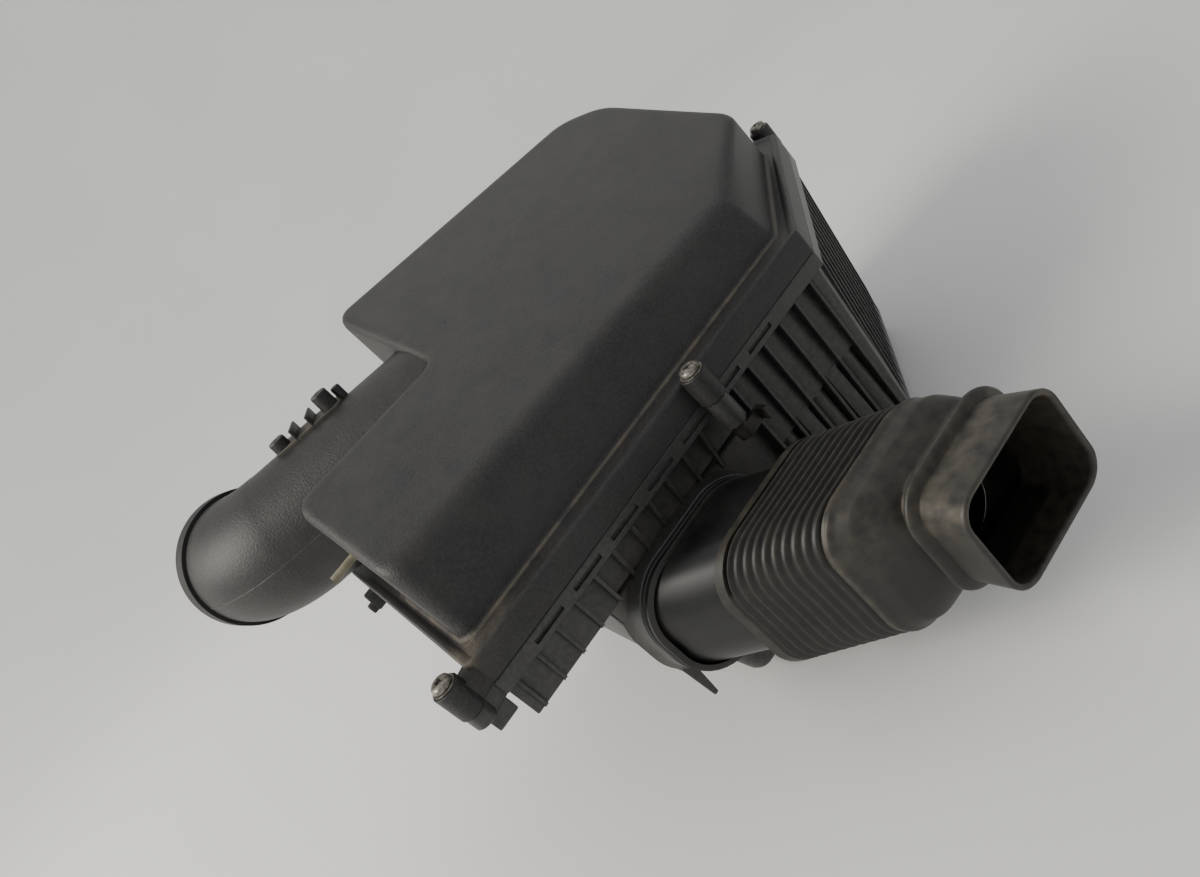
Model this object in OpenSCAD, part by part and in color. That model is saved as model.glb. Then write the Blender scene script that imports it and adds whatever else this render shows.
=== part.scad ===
/* [Housing plan] */
// Width of the sealing flange along its back edge
flange_w = 421; // [410:1:432]
// Depth of the sealing flange, front edge to back edge
flange_d = 258; // [252:1:266]
// Length cut off both edges at the front right corner
corner_cut = 126; // [118:1:132]
// Rounding of the flange corners
corner_r = 10; // [6:1:12]
// Thickness of the moulded walls
wall = 3; // [2.5:0.1:3.4]

/* [Lid] */
// Height of the lid's vertical skirt above the parting plane
skirt_h = 17; // [16:0.5:18]
// Height of the sloping roof above the parting plane at the front left corner
roof_z0 = 51; // [46:0.5:54]
// Rise of the roof per millimetre towards the back
roof_rise = 0.403; // [0.36:0.005:0.43]
// Fall of the roof per millimetre towards the right
roof_fall = 0.047; // [0.03:0.001:0.06]
// Rounding of the lid's upper edges
edge_r = 9; // [7:0.5:11]
// Left end of the tall rear lobe, where the notch for the pipe starts
notch_x = 128; // [122:1:134]
// Back face of the low front lobe
notch_y = 131; // [126:1:134]

/* [Outlet pipe] */
// Outside radius of the pipe
pipe_r = 46; // [44:0.5:46.5]
// Wall thickness of the pipe
pipe_wall = 3; // [2.5:0.1:3.5]
// Angle of the pipe towards the back, away from the front edge
pipe_yaw = 24; // [20:1:26]
// Upward angle of the pipe
pipe_pitch = 3.5; // [2:0.5:5]
// Straight length outside the lid
pipe_len = 134; // [125:1:145]
// Angle of the bend at the end of the pipe
elbow_turn = 48; // [40:1:60]
// Centre line radius of the bend
elbow_r = 66; // [60:1:75]

/* [Lower body] */
// Depth of the shallow tray under the parting plane
tray_h = 33; // [31:0.5:35]
// Depth of the sump under the parting plane
sump_h = 150; // [140:1:160]
// Height of the band that closes the top of the body
band_h = 10; // [9:0.5:11]
// Distance from one front rib to the next
rib_pitch = 16; // [15.5:0.1:16.5]
// Thickness of a rib
rib_t = 2.4; // [2:0.1:3]
// Inset of the body wall behind the face of the band
wall_inset = 10; // [8:0.5:11]

/* [Screws] */
// Radius of the screw shank
shank_r = 2.5; // [2.3:0.1:2.8]
// Radius of the screw head
head_r = 6; // [5.5:0.1:6.4]
// Radius of the bosses that take the screws
boss_r = 8; // [7.5:0.1:8.5]

/* [Hidden] */
$fn = 64;
eps = 0.5;

plastic = "#2b2c2d";
rubber = "#26241f";
steel = "#8f8c86";

// Plan positions of the three locating feet; the first one carries the origin
feet = [[150, 52], [150, 206], [340, 176]];
foot_pin_r = 5;
foot_pin_h = 14;
bush_r = 10;
bush_h = 12;
bush_flange = 3;

// Outline of a full height rib, in depth and height
long_rib = [[1.5, 1 - band_h], [wall_inset + 2.5, 1 - band_h], [wall_inset + 8, -140], [wall_inset - 4, -140]];

// Plan positions of the five lid screws
screws = [[-12, 3], [186, -7], [430, 150], [300, 266], [24, 266]];
thread_clearance = 0.05;
shank_h = skirt_h + 16;

// Where the pipe leaves the lid, and how far it reaches inside
pipe_root = [notch_x, 177, 61];
pipe_inside = 34;
bend_step = 0.4;
spigot_h = 12;

// Distance along the pipe and height of the two sensor bosses
sensor_bosses = [[60, 14], [102, 9]];
sensor_hole_r = 1.5;

// Section sizes along the intake: depth y, centre x, centre z, width, height, corner radius
duct_root = [0, 122, -72, 100, 74, 30];
duct_end = [-42, 152, -79, 98, 78, 20];
bellows_rear = [-37, 152, -79, 106, 88, 22];
bellows_front = [-96, 177, -74, 92, 90, 20];
neck = [-118, 196, -72, 70, 62, 16];
mouth = [-152, 199, -71, 76, 60, 14];
rubber_t = 3;

// How far the duct's straight plug reaches back through the window in the body
duct_plug = 20;

// Moves the housing so that the shoulder of the first foot's bush is at the origin
module placed() {
    translate([-feet[0].x, -feet[0].y, sump_h + bush_flange]) children();
}

function unit(v) = v / norm(v);

// Points of a round corner of radius r at b, between the edges to a and to c
function fillet(a, b, c, r, steps = 6) =
    let (u = unit(a - b), v = unit(c - b), half = acos(u * v) / 2,
         centre = b + unit(u + v) * r / sin(half),
         from = b + u * r / tan(half) - centre, to = b + v * r / tan(half) - centre)
    [for (i = [0:steps]) centre + r * unit(from + (to - from) * i / steps)];

function rounded(points, r) =
    let (n = len(points))
    [for (i = [0:n - 1]) each fillet(points[(i + n - 1) % n], points[i], points[(i + 1) % n], r)];

// Flange outline moved inwards by inset
function plan(inset) =
    let (k = sqrt(2) - 1)
    rounded([[inset, inset],
             [flange_w - corner_cut - k * inset, inset],
             [flange_w - inset, corner_cut + k * inset],
             [flange_w - inset, flange_d - inset],
             [inset, flange_d - inset]],
            max(corner_r - inset / 2, 3));

module plan_slab(inset, z, h) {
    translate([0, 0, z]) linear_extrude(h) polygon(plan(inset));
}

function roof(x, y) = roof_z0 + roof_rise * y - roof_fall * x;

// A ball whose top touches the roof, kept at distance off inside the outer skin
module roof_ball(x, y, off) {
    r = edge_r - off;
    translate([x, y, roof(x, y) - edge_r * 1.1]) sphere(r, $fn = 28);
}

module foot_disc(x, y, off) {
    translate([x, y, skirt_h - wall - eps]) cylinder(r = edge_r - off, h = eps, $fn = 28);
}

// Depth of the crease between the steep front face and the roof
function crease_y(x) = 46 - 0.022 * x;

// Tall lobe of the lid with its sloping roof, shrunk by off on every side
module rear_lobe(off) {
    left = notch_x + edge_r;
    back = flange_d - 16;
    hull() {
        for (p = [[left, crease_y(left)], [left, back], [342, 210], [361, 190], [362, 84], [294, crease_y(294)]])
            roof_ball(p.x, p.y, off);
        for (p = [[left, 29], [291, 29], [389, 122], [389, back], [left, back]])
            foot_disc(p.x, p.y, off);
    }
}

// Low lobe on the left, in front of the pipe
module front_lobe(off) {
    left = 10 + edge_r;
    right = notch_x + 30;
    back = notch_y - edge_r + 3;
    hull() {
        for (p = [[left, crease_y(left)], [left, back], [right, back], [right, crease_y(right)]])
            roof_ball(p.x, p.y, off);
        for (p = [[left, 29], [left, back], [right, back], [right, 29]]) foot_disc(p.x, p.y, off);
    }
}

// Places its children at the pipe's root, with +Z along the pipe
module along_pipe() {
    translate(pipe_root)
        rotate([0, 0, 180 - pipe_yaw]) rotate([0, 90 - pipe_pitch, 0]) children();
}

module lid_shell() {
    color(plastic) difference() {
        union() {
            plan_slab(0, 0.2, skirt_h - 0.2);
            front_lobe(0);
            rear_lobe(0);
            for (p = screws) lid_boss(p);
        }
        plan_slab(wall, 0, skirt_h - wall);
        front_lobe(wall);
        rear_lobe(wall);
        along_pipe() translate([0, 0, -pipe_inside - 1]) cylinder(r = pipe_r + 0.2, h = pipe_len);
        for (p = screws) translate([p.x, p.y, -eps]) cylinder(r = shank_r + 0.6, h = skirt_h + 5);
    }
    color(plastic) clamping_rib();
}

// Tube for one screw with a web that ties it to the skirt
module lid_boss(p) {
    translate([p.x, p.y, 0.2]) cylinder(r = boss_r, h = skirt_h + 1.8);
    web(p, 0.2, skirt_h - 0.2);
}

// Block from a boss to the nearest point inside the flange
module web(p, z, h) {
    q = [min(max(p.x, 9), flange_w - 9), min(max(p.y, 9), flange_d - 9)];
    low = [min(p.x, q.x), min(p.y, q.y)];
    translate([low.x - 3, low.y - 3, z]) cube([abs(p.x - q.x) + 6, abs(p.y - q.y) + 6, h]);
}

// Rib under the ledge that presses the filter's rim down
module clamping_rib() {
    difference() {
        plan_slab(9, 6.2, skirt_h - wall - 6.2 + 0.1);
        plan_slab(12, 0, skirt_h);
        along_pipe() translate([0, 0, -pipe_inside - 1]) cylinder(r = pipe_r + 0.2, h = pipe_len);
    }
}

// Straight tube, slightly thicker bend and sensor pad, in one moulding
module outlet_pipe() {
    bore_r = pipe_r - pipe_wall;
    color(plastic) along_pipe() difference() {
        union() {
            translate([0, 0, -pipe_inside]) cylinder(r = pipe_r, h = pipe_len + pipe_inside + 1);
            bend(pipe_r + bend_step, elbow_turn);
            at_bend_end() translate([0, 0, -1]) cylinder(r = pipe_r, h = spigot_h + 1);
            sensor_pad();
        }
        translate([0, 0, -pipe_inside - 1]) cylinder(r = bore_r, h = pipe_len + pipe_inside + 2);
        bend(bore_r - bend_step, elbow_turn + 1);
        at_bend_end() translate([0, 0, -eps]) cylinder(r = bore_r, h = spigot_h + 1);
        for (b = sensor_bosses) translate([-pipe_r - b[1] - 1, 0, b[0]]) rotate([0, 90, 0])
            cylinder(r = sensor_hole_r, h = 9);
    }
}

// Bend at the pipe's end, turning towards the back of the housing
module bend(r, turn) {
    translate([0, 0, pipe_len]) rotate([0, 0, 90]) translate([-elbow_r, 0, 0]) rotate([90, 0, 0])
        rotate_extrude(angle = turn) translate([elbow_r, 0]) circle(r);
}

// Places its children at the end of the bend, with +Z out of it, inside along_pipe()
module at_bend_end() {
    translate([0, 0, pipe_len]) rotate([0, 0, 90]) translate([-elbow_r, 0, 0])
        rotate([0, -elbow_turn, 0]) translate([elbow_r, 0, 0]) children();
}

// Flat pad with two bosses and two ribs for the airflow sensor, on top of the pipe
module sensor_pad() {
    translate([-pipe_r - 4, -14, 52]) cube([12, 28, 56]);
    for (b = sensor_bosses) translate([-pipe_r - b[1], 0, b[0]]) rotate([0, 90, 0])
        cylinder(r = 6, h = b[1] + 4);
    for (z = [74, 88]) translate([-pipe_r - 9, -12, z]) cube([12, 24, 2.5]);
}

// Grid across the pipe's mouth inside the lid that straightens the flow
module flow_screen() {
    r = pipe_r - pipe_wall - 0.1;
    color(plastic) along_pipe() translate([0, 0, -pipe_inside]) {
        difference() {
            cylinder(r = r, h = 8);
            translate([0, 0, -eps]) cylinder(r = r - 2, h = 8 + 2 * eps);
        }
        for (i = [-4:4], a = [0, 90])
            let (half = sqrt(pow(r - 1, 2) - pow(i * 9.5, 2)))
                rotate([0, 0, a]) translate([i * 9.5 - 0.6, -half, 1]) cube([1.2, 2 * half, 6]);
    }
}

// Rubber ring over the open end of the bend
module outlet_seal() {
    bore_r = pipe_r - pipe_wall;
    color(rubber) along_pipe() at_bend_end() rotate_extrude()
        polygon([[pipe_r + 0.05, 0.6], [pipe_r + rubber_t, 0.6], [pipe_r + rubber_t, spigot_h + 2],
                 [bore_r, spigot_h + 2], [bore_r, spigot_h + 0.05], [pipe_r + 0.05, spigot_h + 0.05]]);
}

// Small hose nipple beside the pipe, standing on the lid's left wall
module vent_nipple() {
    color("#8b8878") translate([12.8, 112, 62]) rotate([0, -90, 0]) difference() {
        union() {
            cylinder(r = 2.5, h = 20);
            cylinder(r = 5, h = 3);
        }
        translate([0, 0, 3]) cylinder(r = 1.3, h = 20);
    }
}

// Sump shell at inset off from the body wall, as a hull of three plan slices
module sump(off, floor_z) {
    left = 66 + off;
    hull() {
        sump_slice(left, off + 1, -band_h - 8);
        sump_slice(left + 4, off + 5, -118);
        sump_slice(left + 34, off + 7, floor_z);
    }
}

module sump_slice(left, off, z) {
    inset = wall_inset + off;
    k = sqrt(2) - 1;
    translate([0, 0, z]) linear_extrude(eps)
        polygon(rounded([[left, inset], [flange_w - corner_cut - k * inset, inset],
                         [flange_w - inset, corner_cut + k * inset],
                         [flange_w - inset, flange_d - inset], [left, flange_d - inset]], 8));
}

// Tray, sump, ribbed front and closing band in one moulding
module lower_body() {
    color(plastic) difference() {
        union() {
            plan_slab(0, -band_h, band_h);
            plan_slab(wall_inset, -tray_h, tray_h - band_h + 0.1);
            sump(0, -sump_h);
            front_ribs();
            diagonal_ribs();
            for (p = screws) body_boss(p);
            for (p = feet) foot(p);
            corner_foot();
            side_fins();
            intake_collar();
        }
        plan_slab(5, -4, 4 + eps);
        plan_slab(wall_inset + 6, -band_h - eps, band_h);
        plan_slab(wall_inset + wall, -tray_h + wall, tray_h - wall - band_h + eps);
        sump(wall, -sump_h + wall);
        intake_window();
        flange_slots();
        for (p = screws) translate([p.x, p.y, -17]) cylinder(r = shank_r + thread_clearance, h = 18);
        translate([250, 120, -sump_h - eps]) cylinder(r = 7.1, h = wall + 2 * eps);
    }
}

// Opening through the front wall and its collar for the intake duct
module intake_window() {
    intake_section(shifted(duct_root, duct_plug + 5), -0.3, duct_plug + 6);
}

// Collar round the opening, from its face to just inside the sump's wall
module intake_collar() {
    intake_section(shifted(duct_root, duct_plug - 3), -3 * wall, duct_plug - 3);
}

// Boss that takes one screw
module body_boss(p) {
    translate([p.x, p.y, -20]) cylinder(r = boss_r - 1, h = 20);
    web(p, -band_h, band_h);
}

// Vertical ribs of the front: short over the tray, tapered in the middle, long on the right
module front_ribs() {
    top = -band_h + 1;
    face = 1.5;
    for (i = [0:17]) {
        x = 10 + rib_pitch * i;
        if (i < 5) rib(x, [[face, top], [wall_inset + 1, top], [wall_inset + 1, -tray_h], [face, -tray_h]]);
        else if (i < 11) rib(x, [[face, top], [wall_inset + 2.5, top], [wall_inset + 2.5, -46]]);
        else if (i > 11) rib(x, long_rib);
    }
    for (i = [12:16]) {
        x = 10 + rib_pitch * (i + 0.5);
        translate([x - rib_pitch / 2, wall_inset - 4, -62]) cube([rib_pitch, 10, 22]);
        if (i % 2 == 0) translate([x, wall_inset + 4, -138]) cylinder(r = 7, h = 78);
        else translate([x - 5, wall_inset - 3.5, -138]) cube([10, 12, 78]);
    }
}

// One rib whose outline is given in the depth and height plane
module rib(x, outline) {
    translate([x - rib_t / 2, 0, 0]) rotate([90, 0, 90]) linear_extrude(rib_t) polygon(outline);
}

// Vertical ribs along the cut corner
module diagonal_ribs() {
    translate([flange_w - corner_cut, 0, 0]) rotate([0, 0, 45])
        for (i = [1:10]) translate([i * rib_pitch, 0, 0])
            rib(0, long_rib);
}

// Narrow pockets in the face of the closing band
module flange_slots() {
    for (i = [1:2:13]) translate([10 + rib_pitch * i + 4, -eps, -6.5]) cube([rib_pitch + 6, 2 + eps, 3]);
}

// Locating pin under the sump
module foot(p) {
    translate([p.x, p.y, -sump_h - foot_pin_h]) cylinder(r = foot_pin_r, h = foot_pin_h + 1);
}

module corner_foot() {
    translate([3, 5, -band_h - 26]) cube([13, 12, 27]);
}

// Two thin guide fins that stand below the left end of the sump
module side_fins() {
    for (y = [18, 36])
        translate([0, y, 0]) rotate([90, 0, 0]) linear_extrude(rib_t)
            polygon([[58, 1 - tray_h], [72, 1 - tray_h], [76, -116], [67 + y / 8, -122 + y / 3]]);
}

// Rubber bushes on the three locating pins
module foot_bushes() {
    color(rubber) for (p = feet) translate([p.x, p.y, -sump_h]) rotate([180, 0, 0]) rotate_extrude()
        polygon([[foot_pin_r + 0.02, 0], [bush_r + 3, 0], [bush_r + 3, bush_flange], [bush_r, bush_flange],
                 [bush_r, bush_h - 1], [bush_r - 1, bush_h], [foot_pin_r + 0.02, bush_h]]);
}

// Rubber drain plug in the floor of the sump
module drain_valve() {
    color(rubber) translate([250, 120, -sump_h]) rotate_extrude()
        polygon([[0, -1], [0, -3], [7, -3], [8.5, -1], [10, -1], [10, -0.05], [7, -0.05], [7, 3.5], [8, 4],
                 [7, 6], [5, 6], [5, -1]]);
}

// Small hook clip hanging on the front boss
module cable_clip() {
    p = screws[1];
    color(plastic) translate([p.x, p.y, -30]) difference() {
        union() {
            cylinder(r = 5, h = 9.9);
            translate([0, -5, 0]) cube([14, 3, 8]);
            translate([11, -11, 0]) cube([3, 9, 8]);
        }
        translate([0, 0, -eps]) cylinder(r = 2, h = 6);
    }
}

// One section of the intake, t thick, shrunk by off on every side
module intake_section(s, off, t) {
    w = s[3] / 2 - off;
    h = s[4] / 2 - off;
    translate([s[1], s[0], s[2]]) rotate([90, 0, 0]) linear_extrude(t)
        polygon(rounded([[-w, -h], [w, -h], [w, h], [-w, h]], s[5] - off));
}

module intake_run(from, to, off) {
    hull() {
        intake_section(from, off, eps);
        translate([0, eps, 0]) intake_section(to, off, eps);
    }
}

// A section moved by dy along the intake
function shifted(s, dy) = concat([s[0] + dy], [for (i = [1:5]) s[i]]);

// Hard duct that plugs into the front wall
module intake_duct() {
    color(plastic) difference() {
        union() {
            intake_run(duct_root, duct_end, 0);
            intake_section(shifted(duct_root, duct_plug), 0, duct_plug);
            intake_section(shifted(duct_root, -3), -6, 3);
        }
        intake_run(duct_root, shifted(duct_end, -1), wall);
        intake_section(shifted(duct_root, duct_plug + 1), wall, duct_plug + 1 + eps);
    }
}

// Rubber lip between the duct and the front wall
module duct_seal() {
    color(rubber) difference() {
        intake_section(duct_root, -7, 2.8);
        intake_section(shifted(duct_root, eps), -0.3, 2.8 + 2 * eps);
    }
}

// Corrugated middle of the rubber hose
module intake_bellows() {
    color(rubber) difference() {
        intake_run(bellows_rear, bellows_front, 0);
        intake_run(shifted(bellows_rear, 1), shifted(bellows_front, -1), rubber_t);
    }
}

// Shoulder, neck, bead and flared mouth of the rubber hose
module intake_mouth() {
    shoulder = shifted(bellows_front, -0.4);
    color(rubber) difference() {
        union() {
            intake_run(shoulder, neck, 0);
            intake_run(neck, mouth, 0);
            intake_section(shifted(neck, -4), -5, 6);
        }
        intake_run(shifted(shoulder, 1), neck, rubber_t);
        intake_run(neck, shifted(mouth, -1), rubber_t);
    }
}

// Foam rim of the filter, clamped between the body's ledge and the lid's rib
module filter_rim() {
    color("#3a3a3c") difference() {
        plan_slab(7, -3.8, 9.8);
        plan_slab(28, -10, 30);
    }
}

// Pleated paper pack inside the rim
module filter_pleats() {
    count = 44;
    pitch = (flange_w - 60) / count;
    color("#c9bfa3") intersection() {
        plan_slab(28.2, -27, 40);
        translate([30, flange_d, 0]) rotate([90, 0, 0]) linear_extrude(flange_d)
            polygon(concat([for (i = [0:count]) each [[i * pitch, -26], [(i + 0.5) * pitch, -14]]],
                           [for (i = [count:-1:0]) each [[(i + 0.5) * pitch, 12], [i * pitch, 0]]]));
    }
}

module screw_washers() {
    color(steel) for (p = screws) translate([p.x, p.y, skirt_h + 2.05]) difference() {
        cylinder(r = head_r + 1, h = 0.9);
        translate([0, 0, -eps]) cylinder(r = shank_r + 0.3, h = 2);
    }
}

// Pan head screw with a six-lobed socket
module screw(i) {
    p = screws[i - 1];
    color(steel) translate([p.x, p.y, skirt_h + 3]) difference() {
        union() {
            cylinder(r1 = head_r, r2 = head_r - 1, h = 3.6);
            translate([0, 0, -shank_h]) cylinder(r = shank_r, h = shank_h + 1);
        }
        translate([0, 0, 1.6]) for (a = [0:60:120]) rotate([0, 0, a]) translate([-2.4, -0.7, 0]) cube([4.8, 1.4, 3]);
    }
}

placed() {
    lower_body();
    foot_bushes();
    drain_valve();
    cable_clip();
    intake_duct();
    duct_seal();
    intake_bellows();
    intake_mouth();
    lid_shell();
    outlet_pipe();
    flow_screen();
    outlet_seal();
    vent_nipple();
    filter_rim();
    filter_pleats();
    screw_washers();
    for (i = [1:5])
        screw(i);
}
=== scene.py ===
"""Air filter housing of a car engine: the finished surfaces of its pieces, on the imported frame.

Shapes are given in millimetres from the left front corner of the sealing flange, x along its front
edge, y towards the back and z up from the parting plane between lid and body.
"""
import math

import bmesh
import bpy
import numpy as np
from mathutils import Matrix, Vector


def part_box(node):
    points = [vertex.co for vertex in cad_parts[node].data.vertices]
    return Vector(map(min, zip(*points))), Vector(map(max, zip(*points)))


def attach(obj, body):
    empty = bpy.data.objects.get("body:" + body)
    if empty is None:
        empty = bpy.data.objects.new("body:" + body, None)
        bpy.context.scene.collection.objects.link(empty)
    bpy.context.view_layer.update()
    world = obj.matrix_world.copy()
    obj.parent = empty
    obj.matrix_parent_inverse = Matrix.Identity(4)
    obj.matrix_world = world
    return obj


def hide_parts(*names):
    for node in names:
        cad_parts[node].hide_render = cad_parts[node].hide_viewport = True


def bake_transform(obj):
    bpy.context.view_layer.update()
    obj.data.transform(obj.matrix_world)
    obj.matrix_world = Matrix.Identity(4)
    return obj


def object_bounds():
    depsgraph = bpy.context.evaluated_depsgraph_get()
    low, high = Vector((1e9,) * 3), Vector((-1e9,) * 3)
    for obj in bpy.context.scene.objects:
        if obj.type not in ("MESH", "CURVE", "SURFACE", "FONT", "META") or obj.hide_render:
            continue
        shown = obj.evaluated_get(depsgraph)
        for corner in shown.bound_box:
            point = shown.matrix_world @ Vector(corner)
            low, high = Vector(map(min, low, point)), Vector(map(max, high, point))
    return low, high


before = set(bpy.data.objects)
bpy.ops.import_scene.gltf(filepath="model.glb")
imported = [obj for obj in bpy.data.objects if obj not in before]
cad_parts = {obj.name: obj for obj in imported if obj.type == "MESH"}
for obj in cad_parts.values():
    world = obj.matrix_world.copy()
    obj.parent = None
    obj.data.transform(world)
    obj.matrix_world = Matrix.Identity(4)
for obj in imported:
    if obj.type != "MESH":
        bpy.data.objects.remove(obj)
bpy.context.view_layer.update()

# ---------------------------------------------------------------------------------------------
# Lower body. One injection moulding of black talc-filled polypropylene: a shallow tray with a
# closing band, a deep sump under its right side, and a comb of ribs on the front and on the cut
# corner that keeps the large thin walls from drumming.

FILTER_RIM_INSET = 7
FILTER_RIM_LOW = -3.8
rim_low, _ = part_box("filter_rim")
FLANGE_CORNER = np.array(rim_low) - np.array([FILTER_RIM_INSET, FILTER_RIM_INSET, FILTER_RIM_LOW]) / 1000


def unit(vectors):
    """Vectors divided by their own length."""
    return vectors / np.linalg.norm(vectors, axis=-1, keepdims=True)


def outline(corners, radius, arc=6, straight=8):
    """Closed line through corners (..., k, 2), each rounded by an arc of its own radius.

    An arc's centre is radius / sin(half the corner's angle) from the corner, along the sum of the
    directions to its two neighbours, and its ends are radius / tan(half the angle) away along them.
    """
    to_last = unit(np.roll(corners, 1, -2) - corners)
    to_next = unit(np.roll(corners, -1, -2) - corners)
    half = np.arccos(np.clip((to_last * to_next).sum(-1, keepdims=True), -1, 1)) / 2
    radius = np.broadcast_to(radius, corners.shape[:-1])[..., None]
    centre = corners + unit(to_last + to_next) * radius / np.sin(half)
    start = corners + to_last * radius / np.tan(half) - centre
    end = corners + to_next * radius / np.tan(half) - centre
    along = np.linspace(0, 1, arc + 1)[:, None]
    arcs = centre[..., None, :] + radius[..., None] * unit(
        start[..., None, :] * (1 - along) + end[..., None, :] * along
    )
    along = (np.arange(1, straight) / straight)[:, None]
    next_arc = np.roll(arcs[..., 0, :], -1, -2)[..., None, :]
    edges = arcs[..., -1:, :] * (1 - along) + next_arc * along
    points = np.concatenate([arcs, edges], -2)
    return points.reshape(*corners.shape[:-2], -1, 2)


def ring(corners, radius, by, z, **steps):
    """Level line `by` millimetres inside the outline of the corners, at height z or z(x, y).

    Each corner goes along the sum of its two edges' inward normals n1 + n2, by / (1 + n1.n2), and
    its radius shrinks by as much at an outer corner and grows at an inner one.
    """
    corners = np.asarray(corners, float)
    ahead = unit(np.roll(corners, -1, 0) - corners)
    behind = np.roll(ahead, 1, 0)
    inward = ahead @ [[0, 1], [-1, 0]]
    inward_behind = np.roll(inward, 1, 0)
    shift = (inward + inward_behind) / (1 + (inward * inward_behind).sum(-1, keepdims=True))
    turn = np.sign(behind[:, 0] * ahead[:, 1] - behind[:, 1] * ahead[:, 0])
    flat = outline(corners + shift * by, np.maximum(radius - by * turn, 0.5), **steps)
    height = z(flat[:, 0], flat[:, 1]) if callable(z) else np.full(len(flat), float(z))
    return np.column_stack([flat, height])


def loft(rings, closed=False):
    """Skin over rings of equal length: a quad joins points j and j + 1 of rings i and i + 1.

    The end rings are capped with one face each, or a closed loft joins the last ring to the first.
    """
    rings = np.asarray(rings)
    count, size = rings.shape[:2]
    index = np.arange(count * size).reshape(count, size)
    here = index if closed else index[:-1]
    above = np.roll(index, -1, 0)[: len(here)]
    quads = np.stack([here, np.roll(here, -1, 1), np.roll(above, -1, 1), above], -1).reshape(-1, 4)
    faces = quads.tolist()
    if not closed:
        faces += [index[0, ::-1].tolist(), index[-1].tolist()]
    return rings.reshape(-1, 3), faces


def prism(corners, low, high, radius=0.6, bevel=0.4):
    """Upright block between two levels, with its outline rounded and its two faces' edges bevelled."""
    steps = [(bevel, low), (0, low + bevel), (0, high - bevel), (bevel, high)]
    return loft([ring(corners, radius, by, z, arc=2, straight=1) for by, z in steps])


def block(low, high, **rounding):
    """Prism over the rectangle from low to high, both (x, y, z)."""
    (x0, y0, z0), (x1, y1, z1) = low, high
    return prism([[x0, y0], [x1, y0], [x1, y1], [x0, y1]], z0, z1, **rounding)


def lathe(profile, centre, sides=40, closed=False):
    """Profile of (radius, height) pairs turned round a vertical axis through centre."""
    angle = np.arange(sides) / sides * 2 * math.pi
    radius, height = np.array(profile, float).T[:, :, None]
    rings = np.stack(np.broadcast_arrays(radius * np.cos(angle), radius * np.sin(angle), height), -1)
    return loft(rings + np.asarray(centre, float), closed)


def moved(part, matrix=np.eye(3), by=(0, 0, 0)):
    """The part with its points multiplied by a matrix and shifted."""
    points, faces = part
    return points @ np.asarray(matrix, float).T + by, faces


def joined(parts):
    """Several parts as one list of points and one of faces."""
    starts = np.cumsum([0] + [len(points) for points, _ in parts])
    faces = [[start + i for i in face] for start, (_, own) in zip(starts, parts) for face in own]
    return np.concatenate([points for points, _ in parts]), faces


def mesh_of(part, name):
    """Mesh of a part in the frame's metres, welded at its seams, with every face turned outwards."""
    points, faces = part
    mesh = bpy.data.meshes.new(name)
    mesh.from_pydata((points / 1000 + FLANGE_CORNER).tolist(), [], faces)
    work = bmesh.new()
    work.from_mesh(mesh)
    bmesh.ops.remove_doubles(work, verts=work.verts, dist=2e-6)
    bmesh.ops.recalc_face_normals(work, faces=work.faces)
    work.to_mesh(mesh)
    work.free()
    return mesh


def cut(part, *tools):
    """The part with the tools' solids taken out of it."""
    solid = bpy.data.objects.new("solid", mesh_of(part, "solid"))
    tool = bpy.data.objects.new("tool", mesh_of(joined(tools), "tool"))
    for item in (solid, tool):
        bpy.context.scene.collection.objects.link(item)
    difference = solid.modifiers.new("cut", "BOOLEAN")
    difference.object = tool
    difference.solver = "EXACT"
    mesh = bpy.data.meshes.new_from_object(solid.evaluated_get(bpy.context.evaluated_depsgraph_get()))
    points = np.empty(len(mesh.vertices) * 3)
    mesh.vertices.foreach_get("co", points)
    faces = [list(face.vertices) for face in mesh.polygons]
    for item in (solid, tool):
        bpy.data.objects.remove(item)
    return (points.reshape(-1, 3) - FLANGE_CORNER) * 1000, faces


def piece(name, parts, material, dust_and_painted_light=lambda x, y, z: 0 * x, crease=32):
    """Object at the origin made of the parts, smooth up to the crease angle, with dust and painted light on
    it.

    dust_and_painted_light is a function of a point's millimetres that gives 0 for clean to 1 for caked;
    on the hose's mouth it also lightens the walls inside as painted light.
    """
    mesh = mesh_of(joined(parts), name)
    mesh.shade_smooth()
    mesh.set_sharp_from_angle(angle=math.radians(crease))
    points = np.empty(len(mesh.vertices) * 3)
    mesh.vertices.foreach_get("co", points)
    place = (points.reshape(-1, 3) - FLANGE_CORNER) * 1000
    layer = mesh.attributes.new("dust_and_painted_light", "FLOAT", "POINT")
    layer.data.foreach_set("value", np.clip(dust_and_painted_light(*place.T), 0, 1).astype(np.float32))
    mesh.materials.append(material)
    made = bpy.data.objects.new(name, mesh)
    bpy.context.scene.collection.objects.link(made)
    return made


def bump_up(value, middle, width):
    """Smooth hump, exp(-(distance from the middle / width) squared)."""
    return np.exp(-(((value - middle) / width) ** 2))


def linear(hex_colour):
    """sRGB hex to linear RGBA: c / 12.92 up to 0.04045, else ((c + 0.055) / 1.055) to the power 2.4."""
    value = np.array([int(hex_colour[i : i + 2], 16) for i in (1, 3, 5)]) / 255
    rgb = np.where(value <= 0.04045, value / 12.92, ((value + 0.055) / 1.055) ** 2.4)
    return (*rgb.tolist(), 1.0)


def add(tree, kind, sockets=None, **settings):
    """One node of the kind, with its settings and with each named socket linked or given a value."""
    new = tree.nodes.new(kind)
    for name, value in settings.items():
        setattr(new, name, value)
    for name, value in (sockets or {}).items():
        if isinstance(value, bpy.types.NodeSocket):
            tree.links.new(value, new.inputs[name])
        else:
            new.inputs[name].default_value = value
    return new


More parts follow.
